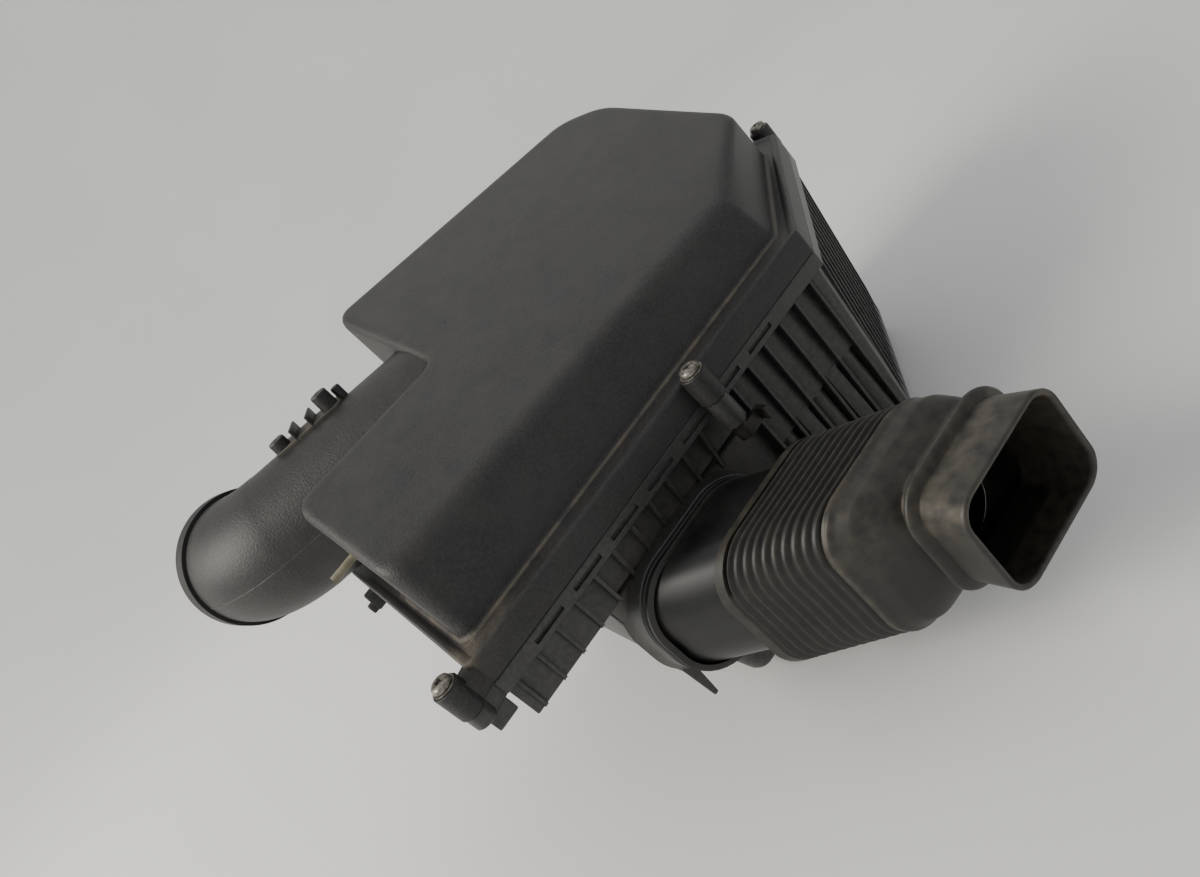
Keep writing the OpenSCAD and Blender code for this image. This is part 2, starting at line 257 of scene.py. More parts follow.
def new_material(name):
    """Empty node material; returns it, its tree, its surface shader and the object coordinates."""
    material = bpy.data.materials.new(name)
    material.use_nodes = True
    tree = material.node_tree
    tree.nodes.clear()
    shader = add(tree, "ShaderNodeBsdfPrincipled")
    add(tree, "ShaderNodeOutputMaterial", {"Surface": shader.outputs["BSDF"]})
    place = add(tree, "ShaderNodeTexCoord").outputs["Object"]
    return material, tree, shader, place


# Sockets of the colour Mix node: its factor, its two colours and its result.
MIX_BY, MIX_FROM, MIX_TO, MIX_RESULT = 0, 6, 7, 2


def mixed(tree, by, first, second):
    """Colour that goes from the first to the second as the factor goes from 0 to 1."""
    sockets = {MIX_BY: by, MIX_FROM: first, MIX_TO: second}
    return add(tree, "ShaderNodeMix", sockets, data_type="RGBA").outputs[MIX_RESULT]


def patches(tree, place, size_mm, low, high, detail=3.0):
    """Noise of patches about size_mm across, stretched so that low becomes 0 and high becomes 1."""
    noise = add(tree, "ShaderNodeTexNoise", {"Vector": place, "Scale": 1000 / size_mm, "Detail": detail})
    sockets = {"Value": noise.outputs["Fac"], "From Min": low, "From Max": high}
    return add(tree, "ShaderNodeMapRange", sockets).outputs["Result"]


def times(tree, first, second):
    """Product of two values or sockets."""
    return add(tree, "ShaderNodeMath", {0: first, 1: second}, operation="MULTIPLY").outputs[0]


def moulded_polypropylene(name, colour, worn, grain_mm, grain_depth, roughness, dust_colour):
    """Moulded polypropylene: black right through, dulled by its grain and by road dust.

    The grain gives a soft silky sheen whose fine sparkle is painted into the colour as lighter speckles,
    worn patches are a little greyer, and dust lies where the painted attribute and large soft patches put
    it.
    """
    material, tree, shader, place = new_material(name)
    greyer = times(tree, patches(tree, place, 45, 0.35, 0.75), 0.55)
    # Lighter speckles at the grain's size are painted glints of the sheen on the grain.
    painted_glint_speckle = patches(tree, place, grain_mm * 1.3, 0.42, 0.62, detail=1.0)
    plastic = mixed(tree, greyer, linear(colour), linear(worn))
    plastic = mixed(tree, times(tree, painted_glint_speckle, 0.55), plastic, linear(worn))
    dust_and_light_amount = add(tree, "ShaderNodeAttribute", attribute_name="dust_and_painted_light").outputs["Fac"]
    cloudy = patches(tree, place, 14, 0.28, 0.7, detail=6.0)
    coated = times(tree, dust_and_light_amount, cloudy)
    tree.links.new(mixed(tree, coated, plastic, linear(dust_colour)), shader.inputs["Base Color"])
    rougher = add(
        tree, "ShaderNodeMapRange", {"Value": coated, "To Min": roughness, "To Max": 0.85}
    ).outputs["Result"]
    tree.links.new(rougher, shader.inputs["Roughness"])
    grain = add(
        tree, "ShaderNodeTexNoise", {"Vector": place, "Scale": 1000 / grain_mm, "Detail": 2.0}
    ).outputs["Fac"]
    bump = add(tree, "ShaderNodeBump", {"Height": grain, "Strength": 0.9, "Distance": grain_depth / 1000})
    tree.links.new(bump.outputs["Normal"], shader.inputs["Normal"])
    shader.inputs["IOR"].default_value = 1.49
    return material


# The body's mould has no grain, only a faint waviness, and weather has turned it greyer than the lid.
weathered_black = moulded_polypropylene(
    "weathered_black_polypropylene", "#292929", "#40403f", 2.2, 0.06, 0.4, "#6a614f"
)

WALL = 3
FLANGE_W, FLANGE_D = 421, 258
CORNER_CUT = 126
CUT_START = FLANGE_W - CORNER_CUT
FLANGE = [[0, 0], [CUT_START, 0], [FLANGE_W, CORNER_CUT], [FLANGE_W, FLANGE_D], [0, FLANGE_D]]
FLANGE_R = np.array([7, 3, 3, 10, 10])
BAND_LOW = -10
TRAY_INSET = 10
TRAY_LOW = -33
SUMP_LOW = -150


def sump_corners(left, inset):
    """Sump outline: the flange's, `inset` further in, and cut off on the left."""
    diagonal = (math.sqrt(2) - 1) * inset
    return [
        [left, inset],
        [CUT_START - diagonal, inset],
        [FLANGE_W - inset, CORNER_CUT + diagonal],
        [FLANGE_W - inset, FLANGE_D - inset],
        [left, FLANGE_D - inset],
    ]


def sump_ring(z, by):
    """Sump outline at height z: its left end and its inset follow straight lines between a few levels."""
    left = np.interp(z, [SUMP_LOW, -112, -84, -18], [100, 89, 67, 66])
    inset = np.interp(z, [SUMP_LOW, -118, -18], [17, 15, 11])
    return ring(sump_corners(left, inset), 9, by, z)


def flange_ring(by, z):
    """Flange outline `by` millimetres further in, at height z."""
    return ring(FLANGE, FLANGE_R, by, z)


# From the sump's floor up the outside, over the band with its groove, and down the inside.
walls = loft(
    [sump_ring(SUMP_LOW, 4), sump_ring(SUMP_LOW + 1.2, 1.2), sump_ring(SUMP_LOW + 4, 0)]
    + [sump_ring(z, 0) for z in np.linspace(SUMP_LOW + 12, TRAY_LOW - 3, 8)]
    + [sump_ring(TRAY_LOW, -3)]
    + [flange_ring(TRAY_INSET + 2, TRAY_LOW), flange_ring(TRAY_INSET, TRAY_LOW + 2)]
    + [flange_ring(TRAY_INSET, BAND_LOW), flange_ring(0.6, BAND_LOW), flange_ring(0, BAND_LOW + 0.6)]
    + [flange_ring(0, -0.6), flange_ring(0.6, 0), flange_ring(4.6, 0), flange_ring(5, -0.4)]
    + [flange_ring(5, -4), flange_ring(TRAY_INSET + WALL, -4)]
    + [flange_ring(TRAY_INSET + WALL, TRAY_LOW + WALL)]
    + [sump_ring(TRAY_LOW + WALL, WALL), sump_ring(TRAY_LOW, WALL)]
    + [sump_ring(SUMP_LOW + WALL, WALL)]
)

# Intake stations: depth y, centre x, centre z, width, height, corner radius.
DUCT_ROOT = [0, 122, -72, 100, 74, 30]
DUCT_PLUG = 20
DUCT_END = [-42, 152, -79, 98, 78, 34]


def stations(keys, depth):
    """Intake stations at the given depths, each number on straight lines between the key stations."""
    keys = np.array(keys, float)
    order = np.argsort(keys[:, 0])
    return np.stack([np.interp(depth, keys[order, 0], column) for column in keys[order].T], -1)


def intake_rings(at, grow=0.0):
    """Rounded rectangles of the stations, their sides moved out by grow, standing across the intake."""
    grow = np.broadcast_to(np.asarray(grow, float), len(at))
    half = at[:, 3:5] / 2 + grow[:, None]
    corners = half[:, None] * np.array([[-1, -1], [1, -1], [1, 1], [-1, 1]])
    flat = outline(corners, (at[:, 5] + grow)[:, None], arc=12, straight=8)
    depth = np.broadcast_to(at[:, 0, None], flat.shape[:-1])
    return np.stack([at[:, 1, None] + flat[..., 0], depth, at[:, 2, None] + flat[..., 1]], -1)


def straight_station(depth, key=DUCT_ROOT):
    """The key station carried unchanged to other depths."""
    return np.array([[y, *key[1:]] for y in depth], float)


window = loft(intake_rings(straight_station([-6, DUCT_PLUG + 12]), 0.4))
SLOTS = range(1, 14, 2)
RIB_PITCH = 16
FIRST_RIB = 10


def rib_x(i):
    """Distance of rib number i from the flange's left end."""
    return FIRST_RIB + RIB_PITCH * i


slots = [block([rib_x(i) + 4, -2, -6.5], [rib_x(i) + 26, 2, -3.5], bevel=0.2) for i in SLOTS]
DRAIN_R = 7.1
drain_hole = lathe([(DRAIN_R, SUMP_LOW - 2), (DRAIN_R, SUMP_LOW + 5)], [250, 120, 0])
walls = cut(walls, window, drain_hole, *slots)

# The collar that guides the duct stands out of the front wall round the window.
COLLAR_DEPTH = [17, 13, 9, 3, 0.8, 0.3, 0.3, 1, 17]
COLLAR_GROWN = [8, 5, 4.2, 3.8, 3.6, 3, 1.4, 0.4, 0.4]
collar = loft(intake_rings(straight_station(COLLAR_DEPTH), COLLAR_GROWN), closed=True)

RIB_T = 2.4
UPRIGHT = [[0, 0, 1], [1, 0, 0], [0, 1, 0]]  # takes a rib's (depth, height, side) to (x, y, z)


def rib(x, profile, thickness=RIB_T):
    """Plate across the front wall: its profile in depth and height, its thickness along x."""
    return moved(prism(profile, -thickness / 2, thickness / 2, radius=0.8, bevel=0.35), UPRIGHT, [x, 0, 0])


# Ribs in depth and height: over the tray, over the duct, down the sump and down the cut corner.
tray_rib = [[11, TRAY_LOW], [11, BAND_LOW + 1], [1.5, BAND_LOW + 1], [3.2, TRAY_LOW]][::-1]
gusset = [[12.5, -46], [12.5, BAND_LOW + 1], [1.5, BAND_LOW + 1]][::-1]
long_rib = [[7, -124], [15, -146], [20, -146], [12.5, BAND_LOW + 1], [1.5, BAND_LOW + 1]]
ribs = [rib(rib_x(i), tray_rib) for i in range(5)]
ribs += [rib(rib_x(i), gusset) for i in range(5, 11)]
ribs += [rib(rib_x(i), long_rib) for i in range(12, 18)]
CORNER_TURN = np.array([[1, -1, 0], [1, 1, 0], [0, 0, math.sqrt(2)]]) / math.sqrt(2)  # 45 degrees
low_rib = [[13, -120], [17, -146], [20, -146], [12.5, BAND_LOW + 1], [1.5, BAND_LOW + 1]]
ribs += [moved(rib(RIB_PITCH * i, low_rib), CORNER_TURN, [CUT_START, 0, 0]) for i in range(1, 11)]


def bay(left, flute):
    """Space between two long ribs: a flat panel down from the band, over a half-round flute or a bar."""
    panel = block([left, 7, -62], [left + RIB_PITCH, 16, BAND_LOW + 1], radius=0.8, bevel=1)
    middle = left + RIB_PITCH / 2
    if flute:
        return joined([panel, lathe([(5, -138), (7, -136), (7, -58)], [middle, 14, 0], sides=28)])
    return joined([panel, block([middle - 5, 6.5, -138], [middle + 5, 18.5, -58], bevel=0.8)])


bays = [bay(rib_x(i), i % 2 == 0) for i in range(12, 17)]
# A smooth panel covers the edge where the front turns into the cut corner.
corner_panel = loft(
    [
        ring([[284, 14.5], [289, 14.5], [297, 22.5], [295, 28], [284, 28]], 3, 0, -146),
        ring([[284, 4], [293.5, 4], [303, 13.5], [301, 22], [284, 22]], 3, 0, BAND_LOW + 1),
    ]
)
# At the left end the wall stands 3 mm behind the ribs, all the way down the tray.
end_panel = block([4, 4.5, TRAY_LOW], [rib_x(4) + 2, 12, BAND_LOW + 1], bevel=0.6)

SCREWS = np.array([[-12, 3], [186, -7], [430, 150], [300, 266], [24, 266]])


def web(spot, low, high, width=12):
    """Block that ties a screw tube at the spot to the nearest point 9 mm inside the flange."""
    inner = np.clip(spot, [9, 9], [FLANGE_W - 9, FLANGE_D - 9])
    across = unit(inner - spot) @ [[0, 1], [-1, 0]] * width / 2
    return prism([spot - across, inner - across, inner + across, spot + across][::-1], low, high)


SOCKET_FLOOR = -8.5
SOCKET_ENDS = [-9.5, -20, -15.5, -15.5, -15.5]
screw_sockets = [
    lathe(
        [(2.55, SOCKET_FLOOR), (2.55, 0), (6.4, 0), (7, -0.6), (7, end + 1), (6, end), (0, end)]
        + [(0, SOCKET_FLOOR)],
        [*spot, 0],
        closed=True,
    )
    for spot, end in zip(SCREWS, SOCKET_ENDS)
]
body_webs = [web(spot, BAND_LOW, -0.1, width=9) for spot in SCREWS]
corner_foot = block([-13, 2, -20], [1, 11, -0.4], bevel=0.8)
FIN_TO_PLAN = [[1, 0, 0], [0, 0, 1], [0, 1, 0]]  # takes a fin's (x, height, side) to (x, y, z)


def fin(y, low):
    """Guide fin across x and z at depth y, drawn out to a narrow tip at height low."""
    profile = [[66, -32], [69, low + 30], [71, low], [74, low], [77, low + 30], [77, -32]]
    return moved(prism(profile, -RIB_T / 2, RIB_T / 2), FIN_TO_PLAN, [0, y, 0])


fins = [fin(18, -128), fin(36, -112)]
FEET = [[150, 52], [150, 206], [340, 176]]
pins = [lathe([(5, SUMP_LOW + 1), (5, SUMP_LOW - 13), (4, SUMP_LOW - 14)], [*spot, 0]) for spot in FEET]


def body_dust(x, y, z):
    """Dust between the ribs at the left front and in the flutes, next to none on the band."""
    between_ribs = bump_up(y, 11, 4) * np.clip((-12 - z) / 6, 0, 1)
    to_left = np.clip(1 - x / 110, 0, 1)
    in_flutes = (y > 11) * (x > 195) * (z < -62)
    return 0.04 + between_ribs * (0.16 + 0.3 * to_left + 0.2 * in_flutes)


lower_body = piece(
    "tray_and_sump",
    [walls, collar, *ribs, *bays, corner_panel, end_panel, *fins]
    + [*screw_sockets, *body_webs, corner_foot, *pins],
    weathered_black,
    body_dust,
)
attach(lower_body, "housing")
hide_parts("lower_body")

# ---------------------------------------------------------------------------------------------
# Bushes and drain plug. Soft black rubber pushed onto the three locating pins and into the hole in
# the sump floor; a small hook clip of harder nylon hangs under the front screw tube.


def soft_rubber(name, colour, bloom, roughness, bloom_mm):
    """Vulcanised rubber: dead black, filmed by pale bloom and dust in soft patches, hardly glossy."""
    material, tree, shader, place = new_material(name)
    # The painted attribute brings dust and, on the hose's mouth, painted light into the bloom colour.
    dust_and_light_amount = add(tree, "ShaderNodeAttribute", attribute_name="dust_and_painted_light").outputs["Fac"]
    filmed = patches(tree, place, bloom_mm, 0.3, 0.75, detail=5.0)
    coated = add(tree, "ShaderNodeMath", {0: times(tree, filmed, 0.25), 1: dust_and_light_amount}, operation="ADD")
    uneven = times(tree, coated.outputs[0], patches(tree, place, bloom_mm / 5, 0.2, 0.65, detail=4.0))
    tree.links.new(mixed(tree, uneven, linear(colour), linear(bloom)), shader.inputs["Base Color"])
    fine = add(tree, "ShaderNodeTexNoise", {"Vector": place, "Scale": 1000 / 1.4, "Detail": 3.0})
    bump = add(tree, "ShaderNodeBump", {"Height": fine.outputs["Fac"], "Strength": 0.3, "Distance": 1e-4})
    tree.links.new(bump.outputs["Normal"], shader.inputs["Normal"])
    shader.inputs["Roughness"].default_value = roughness
    shader.inputs["IOR"].default_value = 1.52
    return material


def coat(node, material):
    """Puts the material on a node of the frame in place of its plain one."""
    own = bpy.data.objects[node].data.materials
    own.clear()
    own.append(material)


bush_rubber = soft_rubber("vulcanised_rubber", "#0c0c0c", "#302e2a", 0.62, 20)
for node in ("foot_bushes", "drain_valve", "outlet_seal"):
    coat(node, bush_rubber)

# ---------------------------------------------------------------------------------------------
# Filter. A frame of grey-black foam cast round a pack of resin-treated, folded paper; the lid's rib
# presses the frame onto the body's ledge, so the frame is also the gasket between clean and dusty side.


def cast_foam(name, colour, pore_mm):
    """Cast polyurethane foam: dull charcoal with open pores that break up any shine and hold painted shade.
    """
    material, tree, shader, place = new_material(name)
    cells = add(tree, "ShaderNodeTexVoronoi", {"Vector": place, "Scale": 1000 / pore_mm})
    pores = cells.outputs["Distance"]
    # The pores' middles are darkened towards #141416 as painted shade.
    painted_pore_shade = mixed(tree, pores, linear("#141416"), linear(colour))
    tree.links.new(painted_pore_shade, shader.inputs["Base Color"])
    bump = add(tree, "ShaderNodeBump", {"Height": pores, "Strength": 0.8, "Distance": pore_mm / 4000})
    tree.links.new(bump.outputs["Normal"], shader.inputs["Normal"])
    shader.inputs["Roughness"].default_value = 0.9
    return material


def filter_paper(name, clean, soiled):
    """Resin-treated filter paper: straw coloured, fibrous, greyed in patches by what it has caught."""
    material, tree, shader, place = new_material(name)
    soil = patches(tree, place, 30, 0.4, 0.8)
    fibres = patches(tree, place, 1.2, 0.3, 0.7, detail=4.0)
    paper = mixed(tree, times(tree, fibres, 0.25), linear(clean), linear("#8d8060"))
    tree.links.new(mixed(tree, times(tree, soil, 0.5), paper, linear(soiled)), shader.inputs["Base Color"])
    bump = add(tree, "ShaderNodeBump", {"Height": fibres, "Strength": 0.3, "Distance": 1e-4})
    tree.links.new(bump.outputs["Normal"], shader.inputs["Normal"])
    shader.inputs["Roughness"].default_value = 0.8
    return material


coat("filter_rim", cast_foam("cast_polyurethane_foam", "#4a4a4d", 0.8))
coat("filter_pleats", filter_paper("resin_treated_paper", "#cdbf98", "#8a8371"))

# ---------------------------------------------------------------------------------------------
# Lid. One injection moulding of the same polypropylene with a fine spark-eroded grain: a flat ledge
# with a rolled edge and a skirt on the body's band, and a tall hollow crown whose roof rises towards
# the back and steps back at the left rear to make room for the outlet pipe.

# The real grain is about 0.3 mm across; it is drawn at 1.3 mm so that it still shows.
grained_black = moulded_polypropylene(
    "grained_black_polypropylene", "#161617", "#2b2b2c", 1.3, 0.34, 0.5, "#6e6454"
)
SKIRT_LOW = 0.2
LEDGE = 15.2
NOTCH = [[128, 134], [10, 134]]  # the crown's step, beside the pipe and in front of it
CROWN_FOOT = [[10, 20.5], [295, 20.5], [396, 117], [398, 246], [393, 251], [128, 251], *NOTCH]
CROWN_FOOT_R = np.array([9, 10, 9, 4, 4, 9, 9, 9])
ROOF = [[10, 38.3], [292, 33], [370, 79], [370, 194], [347, 219], [128, 249.5], *NOTCH]
ROOF_R = np.array([12, 16, 22, 34, 34, 12, 9, 12])
EDGE_SETBACK = 8


def roof_height(x, y):
    """Plane that rises towards the back and falls a little to the right."""
    return 50.1 + 0.403 * y - 0.047 * x


def crown(by, foot):
    """Rings up one skin of the crown, `by` inside the outer one, from a ring at its foot.

    Each side is ruled from the foot to the roof's outline; the edge between them is the parabola
    (1 - t)^2 a + 2 t (1 - t) b + t^2 c from a, a setback down the side, by b, the sharp edge, to c, as
    far in on the roof.
    """
    edge, turned, flat, level = [
        ring(ROOF, ROOF_R, by + further, roof_height) - [0, 0, 1.1 * by]
        for further in (0, EDGE_SETBACK, EDGE_SETBACK + 2, EDGE_SETBACK + 12)
    ]
    start = edge + unit(foot - edge) * EDGE_SETBACK
    rise = np.linspace(0, 1, 10)[:, None, None]
    t = np.linspace(0, 1, 8)[1:, None, None]
    side = foot * (1 - rise) + start * rise
    bend = (1 - t) ** 2 * start + 2 * t * (1 - t) * edge + t**2 * turned
    return [*side, *bend, flat, level]


def crown_ring(by, z):
    """Outline of the crown's foot `by` millimetres further in, at height z."""
    return ring(CROWN_FOOT, CROWN_FOOT_R, by, z)


inner_skin = crown(WALL, crown_ring(WALL, LEDGE - WALL))[::-1]
outer_skin = crown(0, crown_ring(0, LEDGE + 3))
# How far in and how high above the ledge the rings of the fillet at the crown's foot lie.
FILLET = [(0.6, -WALL), (-2.4, -0.6), (-2.4, 0.1), (-1.1, 0.7), (-0.3, 1.6)]
foot_fillet = [crown_ring(by, LEDGE + rise) for by, rise in FILLET]
crown_shell = loft([*inner_skin, *foot_fillet, *outer_skin])

# The ledge's outer line has a corner for each of the crown's, so that straight lines fill the space
# between the two, the open corner of the notch with them.
LEDGE_LINE = [[5, 5], [293, 5], [416, 128], [416, 248], [411, 253], [128, 253.4], [5, 253], [4.6, 134]]
LEDGE_LINE_R = np.array([4, 3, 3, 3, 3, 3, 6, 3])
# Section of the rolled edge: under the ledge, down the skirt's inside, up its outside, over the roll.
ROLLED_EDGE = [(7.5, LEDGE - WALL), (WALL, LEDGE - WALL), (WALL, SKIRT_LOW), (0.5, SKIRT_LOW)]
ROLLED_EDGE += [(0, SKIRT_LOW + 0.5), (0, 14.6), (0.4, 15.9), (1.4, 16.8), (2.6, 17), (4, 16.7)]
ROLLED_EDGE += [(5.2, 15.9), (6, 15.3), (7.5, LEDGE - 0.3)]
rolled_edge = loft([flange_ring(by, z) for by, z in ROLLED_EDGE], closed=True)
share = np.linspace(1, 0, 14)[:, None, None] ** 2
inner_line = crown_ring(1.5, LEDGE)
outer_line = ring(LEDGE_LINE, LEDGE_LINE_R, 0, LEDGE)
slab_top = outer_line * share + inner_line * (1 - share)
ledge = loft([*slab_top, *(slab_top[::-1] - [0, 0, WALL])], closed=True)

PIPE_R = 46
PIPE_WALL = 3
PIPE_ROOT = np.array([128, 177, 61])
YAW, PITCH = math.radians(24), math.radians(3.5)
# Columns: across the pipe and down, across it and level, along it out of the lid.
PIPE_AXES = np.array(
    [
        [-math.cos(YAW) * math.sin(PITCH), -math.sin(YAW), -math.cos(YAW) * math.cos(PITCH)],
        [math.sin(YAW) * math.sin(PITCH), -math.cos(YAW), math.sin(YAW) * math.cos(PITCH)],
        [-math.cos(PITCH), 0, math.sin(PITCH)],
    ]
)


def on_pipe(part):
    """The part, drawn round an upright pipe, turned and shifted to the real one."""
    return moved(part, PIPE_AXES, PIPE_ROOT)


PIPE_INSIDE = 34
HOLE_R = PIPE_R + 0.2
HOLE_END = 99  # well outside the lid
pipe_hole = on_pipe(lathe([(HOLE_R, -PIPE_INSIDE - 1), (HOLE_R, HOLE_END)], [0, 0, 0], sides=96))
crown_shell = cut(crown_shell, pipe_hole)
ledge = cut(ledge, pipe_hole)

# A rib under the ledge presses on the filter's rim.
CLAMPING_RIB = [(12, 6.2), (12, 12.6), (9, 12.6), (9, 6.2)]
clamping_rib = cut(loft([flange_ring(by, z) for by, z in CLAMPING_RIB], closed=True), pipe_hole)
TUBE_TOP = 19
TUBE = [(3.1, SKIRT_LOW), (7.6, SKIRT_LOW), (8, SKIRT_LOW + 0.6), (8, TUBE_TOP - 0.4)]
TUBE += [(7.7, TUBE_TOP), (7.3, TUBE_TOP), (7.1, TUBE_TOP - 0.6), (3.1, TUBE_TOP - 0.6)]
lid_tubes = [lathe(TUBE, [*spot, 0], closed=True) for spot in SCREWS]
lid_webs = [web(spot, 0.3, 13.4) for spot in SCREWS]
side_clip = [block([-7, 203, -3], [3, 217, 9], bevel=0.8), block([-11, 206, -3], [-5, 214, 3], bevel=0.8)]


def lid_dust(x, y, z):
    """Dust in the gutter at the crown's foot and on the ledge's front left corner, and a thin film.

    The distance to the crown's foot is the least distance to one of its sides, each a straight line
    from a corner a to the next b: |p - a - s (b - a)| with s clipped to between 0 and 1.
    """
    start = np.array(CROWN_FOOT, float)[:, None]
    side = np.roll(start, -1, 0) - start
    place = np.stack([x, y], -1)[None]
    s = np.clip(((place - start) * side).sum(-1) / (side**2).sum(-1), 0, 1)
    away = np.linalg.norm(place - start - s[..., None] * side, axis=-1).min(0)
    gutter = bump_up(away, 1.5, 0.9) * bump_up(z, LEDGE + 0.3, 1.2)
    corner = bump_up(np.hypot(x - 4, y - 12), 0, 11) * (z > 14) * (z < 18)
    return 0.05 + 0.08 * np.clip((z - 40) / 60, 0, 1) + 0.85 * gutter + 0.8 * corner


lid = piece(
    "crowned_lid",
    [crown_shell, ledge, rolled_edge, clamping_rib, *lid_tubes, *lid_webs, *side_clip],
    grained_black,
    lid_dust,
)
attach(lid, "lid")
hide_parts("lid_shell")

# ---------------------------------------------------------------------------------------------
# Outlet pipe. A blow-moulded tube of the same plastic, bent at its end, with the mould's parting line
# down its front and a flat pad on top for the airflow sensor; a square grid inside steadies the air.

PIPE_LEN = 134
ELBOW_R = 66
ELBOW_TURN = math.radians(48)
SPIGOT = 12
PIPE_END = PIPE_LEN + ELBOW_R * ELBOW_TURN + SPIGOT


def pipe_ring_at(along, angle, radius):
    """Points of the pipe's skin: distance along its centre line, angle from its top and radius.

    The centre line is straight, then turns by (along - straight) / bend radius about the pipe's
    downward axis, then is straight again.
    """
    turn = np.clip((along - PIPE_LEN) / ELBOW_R, 0, ELBOW_TURN)
    over = np.maximum(along - PIPE_LEN - ELBOW_R * ELBOW_TURN, 0)
    across = -ELBOW_R * (1 - np.cos(turn)) - np.sin(turn) * over
    out = np.minimum(along, PIPE_LEN) + ELBOW_R * np.sin(turn) + np.cos(turn) * over
    side = radius * np.sin(angle)
    down = -radius * np.cos(angle)
    points = np.stack(
        np.broadcast_arrays(down, across + side * np.cos(turn), out + side * np.sin(turn)), -1
    )
    return points @ PIPE_AXES.T + PIPE_ROOT


along = np.concatenate(
    [[-PIPE_INSIDE], np.linspace(0, PIPE_LEN, 20), np.linspace(PIPE_LEN, PIPE_END - 0.6, 30)[1:]]
)
# The angle's steps crowd together at the two parting lines, a quarter turn from the top.
even = np.arange(180) / 180 * 2 * math.pi
angle = even - 0.5 * np.sin(2 * (even - math.pi / 2)) * 0.98
from_seam = np.minimum(np.abs(angle - math.pi / 2), np.abs(angle - 3 * math.pi / 2))
swell = 0.4 * np.clip((along - PIPE_LEN) / 5, 0, 1) * (along < PIPE_END - SPIGOT)
skin = PIPE_R + swell[:, None] + 0.35 * bump_up(from_seam, 0, 0.013)
outside = pipe_ring_at(along[:, None], angle, skin)
rim = [pipe_ring_at(PIPE_END, angle, r) for r in (PIPE_R - 0.7, PIPE_R - PIPE_WALL + 0.6)]
inside = pipe_ring_at(along[::-1, None], angle, PIPE_R - PIPE_WALL)
tube = loft([*outside, *rim, *inside], closed=True)

PAD_START, PAD_END = 52, 108
SENSOR_BOSSES = [(60, 14), (102, 9)]
# The pad's own drawing has x along the pipe, y across it and z up from its centre line.
PAD_TO_PIPE = [[0, 0, -1], [0, 1, 0], [1, 0, 0]]
pad = [block([PAD_START, -14, 34], [PAD_END, 7, PIPE_R + 2], radius=3, bevel=0.6)]
pad += [block([z, -12, 44], [z + 2, 7, PIPE_R + 9], radius=0.7, bevel=0.4) for z in (74, 88)]
pad += [lathe([(3.4, 40), (3.4, PIPE_R + 8), (2.8, PIPE_R + 9)], [51, -7, 0], sides=24)]
pad += [
    lathe(
        [
            (1.5, PIPE_R + rise - 8), (1.5, PIPE_R + rise - 0.5), (2, PIPE_R + rise), (5.4, PIPE_R + rise),
            (6, PIPE_R + rise - 0.8), (6.2, PIPE_R), (1.5, PIPE_R),
        ],
        [z, 0, 0],
        sides=32,
        closed=True,
    )
    for z, rise in SENSOR_BOSSES
]
pad = [on_pipe(moved(part, PAD_TO_PIPE)) for part in pad]


def pipe_dust(x, y, z):
    """Brown dust on the sensor pad, a thin film elsewhere."""
    down, _, out = ((np.stack([x, y, z], -1) - PIPE_ROOT) @ PIPE_AXES).T
    return 0.08 + 0.5 * bump_up(down, -PIPE_R - 2, 1.2) * (out > PAD_START - 2) * (out < PAD_END + 2)


pipe = piece("bent_outlet_tube", [tube, *pad], grained_black, pipe_dust)
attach(pipe, "lid")
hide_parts("outlet_pipe")
coat("flow_screen", grained_black)

# ---------------------------------------------------------------------------------------------
# Hose nipple beside the pipe and hook clip under the front screw tube: two small nylon mouldings, the
# nipple in natural colour gone yellow grey.


def nylon(name, colour, stained, roughness):
    """Moulded nylon: smooth, faintly waxy, stained in small patches."""
    material, tree, shader, place = new_material(name)
    stain = patches(tree, place, 6, 0.35, 0.75, detail=4.0)
    tree.links.new(mixed(tree, stain, linear(colour), linear(stained)), shader.inputs["Base Color"])
    shader.inputs["Roughness"].default_value = roughness
    shader.inputs["IOR"].default_value = 1.53
    return material


coat("vent_nipple", nylon("natural_nylon", "#8d8972", "#5d5746", 0.45))
coat("cable_clip", nylon("black_nylon", "#151515", "#34302a", 0.4))

# ---------------------------------------------------------------------------------------------
# Intake duct. A smooth satin moulding of black polypropylene that plugs into the front wall with a
# rubber lip round its root and widens towards the hose.

# A polished mould leaves no grain, so it shows soft, long reflections.
satin_black = moulded_polypropylene(
    "satin_black_polypropylene", "#0b0c0e", "#131417", 3.0, 0.02, 0.33, "#4e483d"
)
depth = np.concatenate([[DUCT_PLUG], np.linspace(0, -41.4, 18)])
duct_skin = intake_rings(stations([DUCT_ROOT, DUCT_END], depth))
duct_inside = intake_rings(stations([DUCT_ROOT, DUCT_END], depth[::-1]), -WALL)
BEAD_DEPTH = [-6, -5.6, -3.4, -3, -3, -6]
BEAD_GROWN = [1.6, 2.6, 2.6, 2, -1, -1]
root_bead = loft(intake_rings(straight_station(BEAD_DEPTH), BEAD_GROWN), closed=True)
duct = piece(
    "intake_duct_moulding",
    [loft([*duct_skin, *duct_inside], closed=True), root_bead],
    satin_black,
    lambda x, y, z: 0.08 + 0.25 * bump_up(y, 0, 6),
)
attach(duct, "housing")
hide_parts("intake_duct")
LIP_DEPTH = [0.2, 0.2, -0.4, -2.2, -2.9, -2.9]
LIP_GROWN = [0.2, 2.4, 3.2, 3.2, 2.6, 0.2]
root_lip = piece(
    "duct_root_lip",
    [loft(intake_rings(straight_station(LIP_DEPTH), LIP_GROWN), closed=True)],
    bush_rubber,
)
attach(root_lip, "housing")
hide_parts("duct_seal")

# ---------------------------------------------------------------------------------------------
# Intake hose. One soft rubber moulding: a lip stretched over the duct, ten thin ribs that let it
# flex, a heavy shoulder, a groove and a bead, and a flared mouth that rests against the grille duct.

